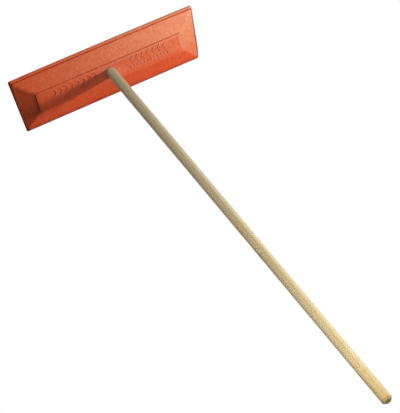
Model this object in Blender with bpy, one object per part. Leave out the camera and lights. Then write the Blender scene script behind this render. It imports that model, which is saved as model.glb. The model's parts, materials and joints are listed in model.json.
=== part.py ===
"""Roof snow rake: hollow two-shell blade on a straight wooden pole.

The blade frame has X along the blade, Y up the blade and Z out of its front face, with z = 0
on the raised front panel. The pole frame has Z along the pole, which leaves the front and
leans towards -Y. The rake rests on the ground on the blade's back lower edge and the pole's
far end, the pole running towards world -Y. Sizes are in millimetres.
"""
import math

import bmesh
import bpy
from mathutils import Matrix, Vector

MM = 0.001                 # metres in a millimetre

# ------------------------------------------------------------- blade outline
BLADE_W_TOP = 610.0
BLADE_W_BOTTOM = 584.0
BLADE_H = 176.0            # from the upper edge to the datum of the lower rim
BOTTOM_OUT = 2.8           # how far the lower rim's roll stands past that datum
EDGE_CROWN = 1.2           # bow of the upper edge
CORNER_R = 5.0
FACE_RISE = 18.0           # raised panel above the foot of the slopes
RIM_DEPTH = 12.0           # foot of the slopes above the back face
BACK_Z = -(FACE_RISE + RIM_DEPTH)
BACK_ROUND = 1.5           # rounding of the outline at the back face
SINK_START = 46.0          # distance below y = 0 where the lower rim starts to sink

# raised flat panel in the middle of the front
PANEL_W = 486.0
PANEL_H = 60.4
PANEL_Y = -2.7
PANEL_R = 5.0
STEP = 2.9                 # height of the panel above the head of the slopes
STEP_W = 2.4               # width of the step, with the crease at its foot

# rim widths, from the foot of the slopes to the outline
RIM_TOP = 8.0
RIM_SIDE = 7.5
RIM_BOTTOM = 7.6
FLANGE = 3.0               # front shell's edge outside the slopes
SEAM = 1.2                 # open seam between the two shells
SEAM_OUT = FLANGE + SEAM   # outer wall of the seam, from the foot of the slopes
SKIN = 3.3                 # thickness of the front shell
FIT_GAP = 0.3

# loop subdivision
ARC_STEPS = 5
SIDE_STEPS = (12, 6, 12, 6)     # upper, -X, lower and +X sides

# ---------------------------------------------------------------- back shell
FLOOR = 6.0
LEDGE_OUT = 0.3            # inner wall, outside the foot of the slopes
BEAD_CHAMFER = 0.8         # at the inner edge of the rim's bead
BEAD_FLAT = 1.6            # flat top of the bead, before it rolls over
BEAD_DROP = 5.0            # fall of the roll, from the bead to the side wall

POCKET_DEPTH = 3.2
POCKET_R = 6.0
POCKET_W = 70.0
POCKET_H = 67.0
POCKET_PITCH = 76.0
POCKET_X = 81.0            # centre of the innermost pockets
POCKET_Y = 36.5

# ---------------------------------------------------------------------- pole
POLE_D = 30.2              # at the blade
POLE_TIP_D = 29.2          # at the far end
POLE_L = 1524.0
POLE_IN = 58.0             # length held in the socket
POLE_OUT = POLE_L - POLE_IN
POLE_LEAN = math.radians(12.0)
POLE_Y = -1.5              # where its axis crosses the front panel
TIP_CHAMFER = 5.0
POLE_FULL_END = POLE_OUT - TIP_CHAMFER - 1.2   # last full-diameter ring before the tip
POLE_BORE_R = 3.5
POLE_BORE_L = 46.0

# socket moulded on the back shell
SOCKET_R = 19.6
SOCKET_BORE_R = POLE_D / 2 + FIT_GAP
SOCKET_FLOOR = -(POLE_IN + FIT_GAP)
SOCKET_END = SOCKET_FLOOR - 4.0
SOCKET_CHAMFER = 1.2
GUSSET_T = 4.0
GUSSET_BURY = 2.0          # gusset foot inside the shell
GUSSET_EDGE = 3.0          # gusset height at its ends
GUSSET_H = 23.0            # gusset height at the socket

# ------------------------------------------------------------------- fixings
WASHER_R = 12.7
WASHER_BORE_R = 3.6
WASHER_T = 1.6
WASHER_CHAMFER = 0.3
WASHER_Z = SOCKET_END - FIT_GAP
LAG_R = 3.15
LAG_L = 50.0
LAG_HEX = 11.1             # across the flats
LAG_HEAD = 4.4
LAG_Z = WASHER_Z - WASHER_T - FIT_GAP          # seat of the lag screw's head

SCREW_X = (75.0, 225.0)
SCREW_Y = 20.0
SCREW_SPOTS = [(side * x, end * SCREW_Y) for x in SCREW_X for side in (-1, 1) for end in (-1, 1)]
SCREW_R = 1.95
SCREW_L = 17.0
SCREW_HEAD_R = 4.0
SCREW_HEAD_T = 2.4
BOSS_R = 5.2
PAD_R = 7.5
PAD_H = 4.6
COUNTERBORE_R = 4.6
COUNTERBORE_T = 3.2
HOLE_R = 2.3

REST_Y = 697.881           # world Y of the blade frame's origin


# ---------------------------------------------------------- objects, materials
def material(name, color, roughness, metallic=0.0):
    mat = bpy.data.materials.new(name)
    mat.use_nodes = True
    shader = mat.node_tree.nodes["Principled BSDF"]
    shader.inputs["Base Color"].default_value = (*color, 1.0)
    shader.inputs["Roughness"].default_value = roughness
    shader.inputs["Metallic"].default_value = metallic
    return mat


def link(name, data, parent=None):
    ob = bpy.data.objects.new(name, data)
    bpy.context.scene.collection.objects.link(ob)
    ob.parent = parent
    return ob


def add(name, bm, parent, mat=None, sharp_angle=35.0):
    """Turn a bmesh into a shaded object; edges beyond sharp_angle degrees stay sharp."""
    bmesh.ops.recalc_face_normals(bm, faces=bm.faces)
    mesh = bpy.data.meshes.new(name)
    bm.to_mesh(mesh)
    bm.free()
    mesh.shade_smooth()
    mesh.set_sharp_from_angle(angle=math.radians(sharp_angle))
    if mat:
        mesh.materials.append(mat)
    return link(name, mesh, parent)


def combine(target, operation, name, bm, parent):
    """Join or cut target with a helper object that is hidden in renders."""
    helper = add(name, bm, parent)
    helper.hide_render = True
    helper.display_type = "WIRE"
    modifier = target.modifiers.new(name, "BOOLEAN")
    modifier.operation = operation
    modifier.solver = "EXACT"
    modifier.object = helper


# --------------------------------------------------------------------- loops
def rectangle(x, y, half_w, half_h):
    """Counter-clockwise corners, starting at +X +Y."""
    return [Vector((x + half_w, y + half_h)), Vector((x - half_w, y + half_h)),
            Vector((x - half_w, y - half_h)), Vector((x + half_w, y - half_h))]


def fillet_loop(corners, radius, arc_steps, side_steps):
    """Closed loop through counter-clockwise corners, rounded, with the sides subdivided."""
    count = len(corners)
    arcs = []
    for i, corner in enumerate(corners):
        to_last = (corners[i - 1] - corner).normalized()
        to_next = (corners[(i + 1) % count] - corner).normalized()
        half_angle = to_last.angle(to_next) / 2
        setback = radius / math.tan(half_angle)
        centre = corner + (to_last + to_next).normalized() * (radius / math.sin(half_angle))
        start = corner + to_last * setback - centre
        end = corner + to_next * setback - centre
        sweep = start.angle(end)
        arc = []
        for k in range(arc_steps + 1):
            angle = sweep * k / arc_steps
            cos, sin = math.cos(angle), math.sin(angle)
            arc.append(Vector((centre.x + start.x * cos - start.y * sin,
                               centre.y + start.x * sin + start.y * cos)))
        arcs.append(arc)
    points = []
    for i, steps in enumerate(side_steps):
        side_start = arcs[i][-1]
        side_end = arcs[(i + 1) % count][0]
        points.extend(arcs[i])
        points.extend(side_start.lerp(side_end, k / steps) for k in range(1, steps))
    return points


def panel_ring(z, grow, radius):
    """Ring at height z, outset from the raised panel's outline by grow."""
    corners = rectangle(0, PANEL_Y, PANEL_W / 2 + grow, PANEL_H / 2 + grow)
    return [Vector((p.x, p.y, z)) for p in fillet_loop(corners, radius, ARC_STEPS, SIDE_STEPS)]


def outline_ring(z, top, side, bottom, radius):
    """Ring inset from the blade's outline, with the upper edge bowed."""
    slope = (BLADE_W_TOP - BLADE_W_BOTTOM) / 2 / BLADE_H
    y_top = BLADE_H / 2 - top - EDGE_CROWN
    y_bottom = -BLADE_H / 2 + bottom

    def half_width(y):
        return (BLADE_W_TOP + BLADE_W_BOTTOM) / 4 + slope * y - side

    x_top, x_bottom = half_width(y_top), half_width(y_bottom)
    corners = [Vector((x_top, y_top)), Vector((-x_top, y_top)),
               Vector((-x_bottom, y_bottom)), Vector((x_bottom, y_bottom))]
    ring = []
    for p in fillet_loop(corners, radius, ARC_STEPS, SIDE_STEPS):
        on_top = p.y > y_top - radius * 1.01
        bow = EDGE_CROWN * (1 - (p.x / x_top) ** 2) if on_top else 0.0
        ring.append(Vector((p.x, p.y + bow, z)))
    return ring


# ring at the foot of the slopes, which sets how much each rim point sinks
FOOT = outline_ring(-FACE_RISE, RIM_TOP, RIM_SIDE, RIM_BOTTOM, CORNER_R + 1.0)


def rim(z, lower_z, top, side, bottom, radius=CORNER_R):
    """Outline ring at height z, easing to lower_z along the lower edge."""
    ring = outline_ring(z, top, side, bottom, radius)
    for p, foot in zip(ring, FOOT):
        t = (-SINK_START - foot.y) / (BLADE_H / 2 - RIM_BOTTOM - SINK_START)
        t = min(1.0, max(0.0, t))
        p.z += (lower_z - p.z) * t * t * (3 - 2 * t)
    return ring


def foot_rim(z, lower_z, out, bottom, radius=CORNER_R):
    """Rim ring whose top and sides lie out beyond the foot of the slopes."""
    return rim(z, lower_z, RIM_TOP - out, RIM_SIDE - out, bottom, radius)


def bead_ring(t, bottom, lower_z):
    """Ring on the rim's roll, from the top of the bead (t = 0) to the side wall (t = 1)."""
    angle = t * math.pi / 2
    left = 1 - math.sin(angle)
    drop = BEAD_DROP * (1 - math.cos(angle))
    out = SEAM_OUT + BEAD_CHAMFER + BEAD_FLAT
    return rim(-FACE_RISE - drop, lower_z, left * (RIM_TOP - out), left * (RIM_SIDE - out), bottom)


# -------------------------------------------------------------------- solids
def loft(rings):
    """Closed body: rings joined in order, first and last capped flat."""
    bm = bmesh.new()
    loops = [[bm.verts.new(p * MM) for p in ring] for ring in rings]
    count = len(loops[0])
    for a, b in zip(loops, loops[1:]):
        for i in range(count):
            j = (i + 1) % count
            bm.faces.new((a[i], a[j], b[j], b[i]))
    bm.faces.new(loops[0])
    bm.faces.new(list(reversed(loops[-1])))
    return bm


def prism(points, z0, z1):
    return loft([[Vector((x, y, z)) for x, y in points] for z in (z0, z1)])


def turned(profile, segments):
    """Solid of revolution about Z from (radius, z) points.

    Radius 0 closes an end; a profile that starts off the axis is joined to itself.
    """
    bm = bmesh.new()
    rings = []
    for radius, z in profile:
        if radius == 0:
            rings.append([bm.verts.new((0, 0, z * MM))])
            continue
        angles = [2 * math.pi * k / segments for k in range(segments)]
        rings.append([bm.verts.new((radius * MM * math.cos(a), radius * MM * math.sin(a), z * MM))
                      for a in angles])
    pairs = list(zip(rings, rings[1:]))
    if profile[0][0] != 0:
        pairs.append((rings[-1], rings[0]))
    for a, b in pairs:
        for k in range(segments):
            j = (k + 1) % segments
            if len(a) == 1:
                bm.faces.new((a[0], b[j], b[k]))
            elif len(b) == 1:
                bm.faces.new((a[k], a[j], b[0]))
            else:
                bm.faces.new((a[k], a[j], b[j], b[k]))
    return bm


def rod(radius, z0, z1, segments):
    return turned([(0, z0), (radius, z0), (radius, z1), (0, z1)], segments)


def merge(parts):
    merged = bmesh.new()
    scratch = bpy.data.meshes.new("tmp")
    for part in parts:
        part.to_mesh(scratch)
        merged.from_mesh(scratch)
        part.free()
    bpy.data.meshes.remove(scratch)
    return merged


def at_screws(profile, segments):
    """The same turned solid at every shell screw."""
    parts = []
    for x, y in SCREW_SPOTS:
        part = turned(profile, segments)
        part.transform(Matrix.Translation((x * MM, y * MM, 0)))
        parts.append(part)
    return merge(parts)


# -------------------------------------------------------------------- frames
def height(y, z, tilt):
    """Height of a blade-frame point above the frame's origin."""
    return y * math.cos(tilt) + z * math.sin(tilt)


def edge_height(tilt):
    """Height of the back lower edge above the blade frame's origin."""
    return height(-(BLADE_H / 2 + BOTTOM_OUT), BACK_Z + BACK_ROUND, tilt)


def ground_tilt():
    """Lean of the blade that puts its back lower edge and the pole end on one plane."""
    y = POLE_Y - POLE_FULL_END * math.sin(POLE_LEAN)
    z = POLE_FULL_END * math.cos(POLE_LEAN)
    low, high = 0.0, 0.3
    for _ in range(60):
        tilt = (low + high) / 2
        pole_height = height(y, z, tilt) - POLE_TIP_D / 2 * math.cos(POLE_LEAN - tilt)
        if pole_height < edge_height(tilt):
            low = tilt
        else:
            high = tilt
    return (low + high) / 2


def blade_frame():
    tilt = ground_tilt()
    frame = link("blade_frame", None)
    frame.rotation_euler = (math.pi / 2 - tilt, 0, 0)
    frame.location = (0, REST_Y * MM, -edge_height(tilt) * MM)
    return frame


def pole_frame(blade):
    """Frame where the pole's axis crosses the front panel, Z along the pole."""
    frame = link("pole_axis", None, blade)
    frame.location = (0, POLE_Y * MM, 0)
    frame.rotation_euler = (POLE_LEAN, 0, 0)
    return frame


# --------------------------------------------------------------- front shell
# z, outset from the panel's outline, corner radius less PANEL_R
PANEL_STATIONS = (
    (0.0, -1.6, -1.0),
    (-0.4, -0.5, -0.4),
    (-1.2, 0.0, 0.0),
    (-STEP, 0.25, 0.2),
    (-STEP - 0.6, 0.7, 0.5),
    (-STEP - 0.5, 1.5, 1.0),
    (-STEP, STEP_W, 1.6),
)
# depth below the foot of the slopes, the same along the lower edge, outset from the foot,
# inset from the lower datum, corner radius less CORNER_R
FRONT_RIM_STATIONS = (
    (0.0, 0.2, 0.0, RIM_BOTTOM, 1.0),
    (0.3, 0.95, 1.9, 6.0, 0.5),
    (0.9, 1.8, 2.7, 4.6, 0.0),
    (1.6, 2.8, FLANGE, 3.3, 0.0),
    (SKIN, SKIN, FLANGE, 2.65, 0.0),
    (SKIN, SKIN, -1.5, RIM_BOTTOM + 1.5, 0.0),
)
# underside of the panel: z, outset from the panel's outline
UNDERSIDE_STATIONS = ((-SKIN - STEP, -2.4), (-SKIN, -3.6))


def front_shell(blade, axis, mat):
    rings = [panel_ring(z, grow, PANEL_R + r) for z, grow, r in PANEL_STATIONS]
    rings += [foot_rim(-FACE_RISE - depth, -FACE_RISE - lower, out, bottom, CORNER_R + r)
              for depth, lower, out, bottom, r in FRONT_RIM_STATIONS]
    rings += [panel_ring(z, grow, PANEL_R) for z, grow in UNDERSIDE_STATIONS]
    shell = add("front_shell", loft(rings), blade, mat)

    foot = BACK_Z + FLOOR + FIT_GAP
    head = -SKIN + 1.0     # inside the skin
    bosses = at_screws([(0, foot), (BOSS_R, foot), (BOSS_R, head), (0, head)], 20)
    combine(shell, "UNION", "add_screw_bosses", bosses, blade)
    pilots = at_screws([(0, foot - 2), (HOLE_R, foot - 2), (HOLE_R, -8.0), (0, -7.0)], 16)
    combine(shell, "DIFFERENCE", "cut_boss_pilots", pilots, blade)
    pole_hole = rod(SOCKET_BORE_R, -12.0, 12.0, 48)
    combine(shell, "DIFFERENCE", "cut_pole_hole", pole_hole, axis)


# ---------------------------------------------------------------- back shell
LEDGE_Z = -FACE_RISE - SKIN - FIT_GAP          # just under the front shell's edge
# z, z along the lower edge, outset from the foot of the slopes, inset from the lower datum
LEDGE_STATIONS = (
    (BACK_Z + FLOOR, BACK_Z + FLOOR, LEDGE_OUT, RIM_BOTTOM - 0.3),
    (LEDGE_Z, LEDGE_Z, LEDGE_OUT, RIM_BOTTOM - 0.5),
    (LEDGE_Z, LEDGE_Z, SEAM_OUT, 2.6),
    (-FACE_RISE - 0.7, LEDGE_Z - 0.02, SEAM_OUT, 2.5),
    (-FACE_RISE, LEDGE_Z - 0.06, SEAM_OUT + BEAD_CHAMFER, 2.4),
)
# share of the roll, inset from the lower datum, z along the lower edge
BEAD_STATIONS = (
    (0.0, 2.2, LEDGE_Z - 0.2),
    (0.34, -0.9, -24.6),
    (0.67, -2.15, -26.04),
    (1.0, -BOTTOM_OUT, -27.4),
)
# height above the back face, inset from the outline
BACK_EDGE_STATIONS = ((BACK_ROUND, 0.0), (0.45, 0.45), (0.0, BACK_ROUND))


def pockets():
    """Two rows of rounded pockets in the back face, three on each side of the socket."""
    parts = []
    for side in (-1, 1):
        for i in range(3):
            for row in (1, -1):
                corners = rectangle(side * (POCKET_X + i * POCKET_PITCH), row * POCKET_Y,
                                    POCKET_W / 2, POCKET_H / 2)
                outline = fillet_loop(corners, POCKET_R, 3, (1, 1, 1, 1))
                parts.append(prism(outline, BACK_Z - 3.0, BACK_Z + POCKET_DEPTH))
    return merge(parts)


def gusset(foot_low, crest_low, crest_high, foot_high):
    """Upright plate in the XZ plane, from the back face out along the socket."""
    bury, edge, crest = BACK_Z + GUSSET_BURY, BACK_Z - GUSSET_EDGE, BACK_Z - GUSSET_H
    plate = prism([(foot_low, bury), (foot_low, edge), (crest_low, crest),
                   (crest_high, crest), (foot_high, edge), (foot_high, bury)],
                  -GUSSET_T / 2, GUSSET_T / 2)
    plate.transform(Matrix.Rotation(math.pi / 2, 4, "X"))
    return plate


def add_socket(shell, blade, axis):
    """Pole socket with crossed gussets, trimmed below the front skin and bored out."""
    cup = turned([(0, SOCKET_END), (SOCKET_R - SOCKET_CHAMFER, SOCKET_END),
                  (SOCKET_R, SOCKET_END + SOCKET_CHAMFER), (SOCKET_R, 4.0), (0, 4.0)], 48)
    combine(shell, "UNION", "add_socket", cup, axis)

    axis_y = POLE_Y - BACK_Z * math.tan(POLE_LEAN)     # pole axis at the back face
    across = gusset(-41.0, -15.0, 15.0, 41.0)
    across.transform(Matrix.Translation((0, (axis_y + 2.0) * MM, 0)))
    combine(shell, "UNION", "add_side_gussets", across, blade)
    upright = gusset(-62.0, axis_y - 12.0, axis_y + 14.0, 70.0)
    upright.transform(Matrix.Rotation(math.pi / 2, 4, "Z"))
    combine(shell, "UNION", "add_long_gusset", upright, blade)

    trim = prism(rectangle(0, 0, 60, 60), -SKIN - FIT_GAP, 30)
    combine(shell, "DIFFERENCE", "cut_socket_top", trim, blade)
    bore = turned([(0, SOCKET_END - 5), (WASHER_BORE_R, SOCKET_END - 5),
                   (WASHER_BORE_R, SOCKET_FLOOR), (SOCKET_BORE_R, SOCKET_FLOOR),
                   (SOCKET_BORE_R, 30.0), (0, 30.0)], 48)
    combine(shell, "DIFFERENCE", "cut_socket_bore", bore, axis)


def back_shell(blade, axis, mat):
    rings = [foot_rim(*station) for station in LEDGE_STATIONS]
    rings += [bead_ring(*station) for station in BEAD_STATIONS]
    rings += [rim(BACK_Z + up, BACK_Z + up, inset, inset, inset - BOTTOM_OUT)
              for up, inset in BACK_EDGE_STATIONS]
    shell = add("back_shell", loft(rings), blade, mat)

    combine(shell, "DIFFERENCE", "cut_back_pockets", pockets(), blade)
    pad_top = BACK_Z + PAD_H
    pads = at_screws([(0, BACK_Z), (PAD_R, BACK_Z), (PAD_R, pad_top), (0, pad_top)], 24)
    combine(shell, "UNION", "add_screw_pads", pads, blade)
    add_socket(shell, blade, axis)

    start, seat, end = BACK_Z - 2, BACK_Z + COUNTERBORE_T, BACK_Z + FLOOR + 2
    holes = at_screws([(0, start), (COUNTERBORE_R, start), (COUNTERBORE_R, seat),
                       (HOLE_R, seat), (HOLE_R, end), (0, end)], 20)
    combine(shell, "DIFFERENCE", "cut_screw_holes", holes, blade)


# ---------------------------------------------------------- pole and fixings
def pole(axis, mat):
    """Pole with a chamfered far end and a blind bore in the socket end."""
    root_r = POLE_D / 2
    tip_r = POLE_TIP_D / 2
    bore_end = -POLE_IN + POLE_BORE_L
    profile = [
        (0, POLE_OUT), (tip_r - 5.4, POLE_OUT), (tip_r - 4.6, POLE_OUT - 0.5),
        (tip_r - 0.7, POLE_OUT - TIP_CHAMFER), (tip_r, POLE_FULL_END),
        (root_r, 60.0), (root_r, -POLE_IN + 1.0), (root_r - 1.0, -POLE_IN),
        (POLE_BORE_R, -POLE_IN), (POLE_BORE_R, bore_end), (0, bore_end + 1.5),
    ]
    add("pole", turned(profile, 64), axis, mat, sharp_angle=40)


def pole_washer(axis, mat):
    back = WASHER_Z - WASHER_T
    face_r = WASHER_R - WASHER_CHAMFER
    profile = [(WASHER_BORE_R, WASHER_Z), (face_r, WASHER_Z),
               (WASHER_R, WASHER_Z - WASHER_CHAMFER), (WASHER_R, back + WASHER_CHAMFER),
               (face_r, back), (WASHER_BORE_R, back)]
    add("pole_washer", turned(profile, 48), axis, mat)


def pole_screw(axis, mat):
    """Lag screw: pointed shank with a hexagonal head."""
    start, tip = LAG_Z - 1.5, LAG_Z + LAG_L
    shank = turned([(0, start), (LAG_R, start), (LAG_R, tip - 8.0), (1.0, tip - 0.6), (0, tip)], 24)
    screw = add("pole_screw", shank, axis, mat)
    corner_r = LAG_HEX / 2 / math.cos(math.pi / 6)
    hexagon = [(corner_r * math.cos(math.pi / 3 * k), corner_r * math.sin(math.pi / 3 * k))
               for k in range(6)]
    combine(screw, "UNION", "add_hex_head", prism(hexagon, LAG_Z - LAG_HEAD, LAG_Z), axis)


def shell_screws(blade, mat):
    """Domed screws, heads in the back shell's counterbores, all sharing one mesh."""
    seat = BACK_Z + COUNTERBORE_T - FIT_GAP
    crown = seat - SCREW_HEAD_T
    tip = seat + SCREW_L
    profile = [(0, crown), (1.8, crown + 0.05), (3.3, crown + 0.7), (SCREW_HEAD_R, seat - 0.8),
               (SCREW_HEAD_R, seat), (SCREW_R, seat), (SCREW_R, tip - 3.0), (0, tip)]
    first = add("shell_screw_1", turned(profile, 20), blade, mat)
    for i, (x, y) in enumerate(SCREW_SPOTS):
        screw = link("shell_screw_%d" % (i + 1), first.data, blade) if i else first
        screw.location = (x * MM, y * MM, 0)


# --------------------------------------------------------------------- build
for old in list(bpy.data.objects):
    bpy.data.objects.remove(old, do_unlink=True)

orange = material("orange_plastic", color=(0.72, 0.15, 0.055), roughness=0.45)
orange_back = material("orange_plastic_back", color=(0.68, 0.14, 0.05), roughness=0.5)
ash = material("ash_wood", color=(0.72, 0.55, 0.30), roughness=0.6)
zinc = material("zinc_steel", color=(0.62, 0.62, 0.60), roughness=0.35, metallic=1.0)
black_steel = material("black_steel", color=(0.30, 0.30, 0.31), roughness=0.4, metallic=1.0)

blade_origin = blade_frame()
pole_axis = pole_frame(blade_origin)
front_shell(blade_origin, pole_axis, orange)
back_shell(blade_origin, pole_axis, orange_back)
pole(pole_axis, ash)
pole_washer(pole_axis, zinc)
pole_screw(pole_axis, black_steel)
shell_screws(blade_origin, zinc)
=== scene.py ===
"""Roof snow rake: a wide orange plastic blade on a long wooden pole.

The blade is two shells screwed together. In its own frame x runs along it, y up it and z out of
its front face. In the row frame x is the same, the front faces -Y and tips a little, and the pole
runs out of the front towards -Y. Sizes are in millimetres and meshes in metres.
"""

import json
import math

import bmesh
import bpy
from mathutils import Matrix, Vector

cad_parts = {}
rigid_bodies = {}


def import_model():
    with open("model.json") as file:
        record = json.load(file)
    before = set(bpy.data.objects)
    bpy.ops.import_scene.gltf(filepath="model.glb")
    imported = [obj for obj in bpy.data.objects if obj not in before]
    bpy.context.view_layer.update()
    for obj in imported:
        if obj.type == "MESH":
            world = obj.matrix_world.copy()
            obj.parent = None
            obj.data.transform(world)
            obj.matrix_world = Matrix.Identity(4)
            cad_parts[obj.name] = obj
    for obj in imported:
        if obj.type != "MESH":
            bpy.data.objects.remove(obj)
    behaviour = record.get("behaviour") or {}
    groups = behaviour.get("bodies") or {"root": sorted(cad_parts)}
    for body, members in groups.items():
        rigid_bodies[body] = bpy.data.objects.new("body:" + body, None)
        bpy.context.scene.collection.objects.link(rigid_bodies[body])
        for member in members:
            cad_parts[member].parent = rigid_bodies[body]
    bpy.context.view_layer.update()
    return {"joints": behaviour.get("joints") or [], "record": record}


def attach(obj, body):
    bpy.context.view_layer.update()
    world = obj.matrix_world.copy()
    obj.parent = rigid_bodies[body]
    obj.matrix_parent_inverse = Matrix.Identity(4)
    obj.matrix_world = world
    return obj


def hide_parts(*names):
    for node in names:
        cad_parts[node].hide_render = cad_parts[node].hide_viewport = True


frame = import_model()

MM = 0.001
scene = bpy.context.scene
scene_objects = scene.collection.objects

# ----------------------------------------------------------------------- sizes
# blade outline and depth
BLADE_W_TOP, BLADE_W_BOTTOM, BLADE_H = 610.0, 584.0, 176.0
BOTTOM_OUT = 2.8  # how far the lower edge rolls out past the outline
EDGE_CROWN = 1.2  # rise of the upper edge at its middle
CORNER_R = 5.0
FACE_RISE, RIM_DEPTH = 18.0, 12.0
FOOT_Z = -FACE_RISE
BACK_Z = -(FACE_RISE + RIM_DEPTH)
# flat panel in the middle of the front, and the step round it
PANEL_W, PANEL_H, PANEL_Y, PANEL_R = 486.0, 60.4, -2.7, 5.0
STEP, STEP_W = 2.9, 2.4
# insets of the slope's foot from the outline; outside it come the front shell's edge,
# an open seam and the back shell's rolled lip
FOOT_TOP, FOOT_SIDE, FOOT_BOTTOM = 9.6, 7.2, 7.6
FOOT_R = CORNER_R + 1.0
EDGE_W, SEAM_TOP, SEAM_SIDE = 1.9, 2.6, 1.0
LIP_TOP = FOOT_TOP - EDGE_W - SEAM_TOP
LIP_SIDE = FOOT_SIDE - EDGE_W - SEAM_SIDE
SINK_Y = -46.0  # below this the rim sinks towards the lower edge
SKIN, FIT_GAP = 3.3, 0.3
SHELF_Z = FOOT_Z - SKIN - FIT_GAP
FLOOR, POCKET_DEPTH, POCKET_R = 6.0, 3.2, 6.0
# pole and its socket
POLE_R, POLE_TIP_R, POLE_L, POLE_IN = 15.1, 14.6, 1524.0, 58.0
POLE_LEAN = math.radians(12.0)
POLE_Y = -1.5
POLE_OUT = POLE_L - POLE_IN
TIP_CHAMFER = 5.0
TAPER_START = 60.0
POLE_BORE_R, POLE_BORE_L = 3.5, 46.0
SOCKET_R, SOCKET_END_T, GUSSET_T = 19.6, 4.0, 4.0
SOCKET_BORE_R = POLE_R + FIT_GAP
SOCKET_END = POLE_IN + FIT_GAP
SOCKET_BACK = SOCKET_END + SOCKET_END_T
# lag screw and washer on the pole's axis
LAG_R, LAG_L, LAG_HEX, LAG_HEAD = 3.15, 50.0, 11.1, 4.4
LAG_PLAIN, THREAD_PITCH, THREAD_DEPTH, LAG_POINT = 9.0, 2.6, 0.75, 8.0
WASHER_R, WASHER_BORE_R, WASHER_T = 12.7, 3.6, 1.6
WASHER_Z = -SOCKET_BACK - FIT_GAP
LAG_Z = WASHER_Z - WASHER_T - FIT_GAP
# shell screws
SCREW_X, SCREW_Y = (75.0, 225.0), 20.0
SCREW_R, SCREW_L, SCREW_HEAD_R, SCREW_HEAD_T = 1.95, 17.0, 4.0, 2.4
BOSS_R, PAD_R, PAD_T, COUNTERBORE_R, COUNTERBORE_T, HOLE_R = 5.2, 7.5, 4.6, 4.6, 3.2, 2.3
SCREW_SPOTS = [(x_sign * x, y_sign * SCREW_Y)
               for x in SCREW_X for x_sign in (-1, 1) for y_sign in (-1, 1)]

# mesh steps of every ring round the blade
SIDE_STEPS = (36, 16, 36, 16)
ARC_STEPS = 10


# ---------------------------------------------------------------------- frames
def find_blade_frame():
    """The pole's slide axis gives the blade's tilt, and its far end face gives the place."""
    axis = Vector(frame["joints"][0]["axis"]).normalized()
    tilt = POLE_LEAN - math.asin(-axis.z)
    mounts = frame["record"]["mounts"]
    tip = Vector([mount for mount in mounts if mount["name"] == "pole_end"][0]["pos_m"])
    turn = Matrix.Rotation(math.pi / 2 - tilt, 4, "X")
    tip_in_blade = Vector((0, POLE_Y - POLE_OUT * math.sin(POLE_LEAN),
                           POLE_OUT * math.cos(POLE_LEAN))) * MM
    return Matrix.Translation(tip - turn.to_3x3() @ tip_in_blade) @ turn


BLADE = find_blade_frame()
# the pole's frame: z runs out along the pole from where it crosses the blade's front
AXIS = (BLADE @ Matrix.Translation((0, POLE_Y * MM, 0))
        @ Matrix.Rotation(POLE_LEAN, 4, "X"))
AXIS_IN_BLADE = BLADE.inverted() @ AXIS


# ----------------------------------------------------------------------- rings
def rectangle(x0, x1, y0, y1):
    return [Vector((x1, y1)), Vector((x0, y1)), Vector((x0, y0)), Vector((x1, y0))]


def at_height(points, z):
    return [Vector((x, y, z)) for x, y in points]


def fillet_loop(corners, radius, arc_steps, side_steps, crown=0.0):
    """A polygon with rounded corners; crown lifts the middle of its upper side."""
    count = len(corners)
    arcs = []
    for i, corner in enumerate(corners):
        to_last = (corners[i - 1] - corner).normalized()
        to_next = (corners[(i + 1) % count] - corner).normalized()
        half = to_last.angle(to_next) / 2
        setback = radius / math.tan(half)
        centre = corner + (to_last + to_next).normalized() * (radius / math.sin(half))
        start = corner + to_last * setback - centre
        end = corner + to_next * setback - centre
        total = start.angle(end)
        turn = 1 if (start.x * end.y - start.y * end.x) > 0 else -1
        arc = []
        for k in range(arc_steps + 1):
            cos = math.cos(turn * total * k / arc_steps)
            sin = math.sin(turn * total * k / arc_steps)
            arc.append(Vector((centre.x + start.x * cos - start.y * sin,
                               centre.y + start.x * sin + start.y * cos)))
        arcs.append(arc)
    points = []
    for i, steps in enumerate(side_steps):
        points.extend(arcs[i])
        side_start, side_end = arcs[i][-1], arcs[(i + 1) % count][0]
        points.extend(side_start.lerp(side_end, k / steps) for k in range(1, steps))
    if crown:
        top = max(p.y for p in corners)
        half_w = max(p.x for p in corners)
        points = [Vector((p.x, p.y + crown * (1 - (p.x / half_w) ** 2)
                          * (p.y > top - radius * 1.01))) for p in points]
    return points


def rim_ring(z, top, side, bottom, radius):
    """A flat ring inset from the blade's outline."""
    widen = (BLADE_W_TOP - BLADE_W_BOTTOM) / 2 / BLADE_H
    mean_half_w = (BLADE_W_TOP + BLADE_W_BOTTOM) / 4
    y_top = BLADE_H / 2 - top - EDGE_CROWN
    y_bottom = -BLADE_H / 2 + bottom
    x_top = mean_half_w + widen * y_top - side
    x_bottom = mean_half_w + widen * y_bottom - side
    corners = [Vector((x_top, y_top)), Vector((-x_top, y_top)),
               Vector((-x_bottom, y_bottom)), Vector((x_bottom, y_bottom))]
    return at_height(fillet_loop(corners, radius, ARC_STEPS, SIDE_STEPS, EDGE_CROWN), z)


FLAT_FOOT = rim_ring(FOOT_Z, FOOT_TOP, FOOT_SIDE, FOOT_BOTTOM, FOOT_R)


def rim(z, low_z, top, side, bottom, radius=CORNER_R):
    """A rim ring at height z that moves to low_z along the lower edge."""
    ring = []
    for point, foot in zip(rim_ring(z, top, side, bottom, radius), FLAT_FOOT):
        t = (SINK_Y - foot.y) / (BLADE_H / 2 - FOOT_BOTTOM + SINK_Y)
        t = min(1.0, max(0.0, t))
        ease = t * t * (3 - 2 * t)
        ring.append(Vector((point.x, point.y, point.z + (low_z - point.z) * ease)))
    return ring


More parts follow.
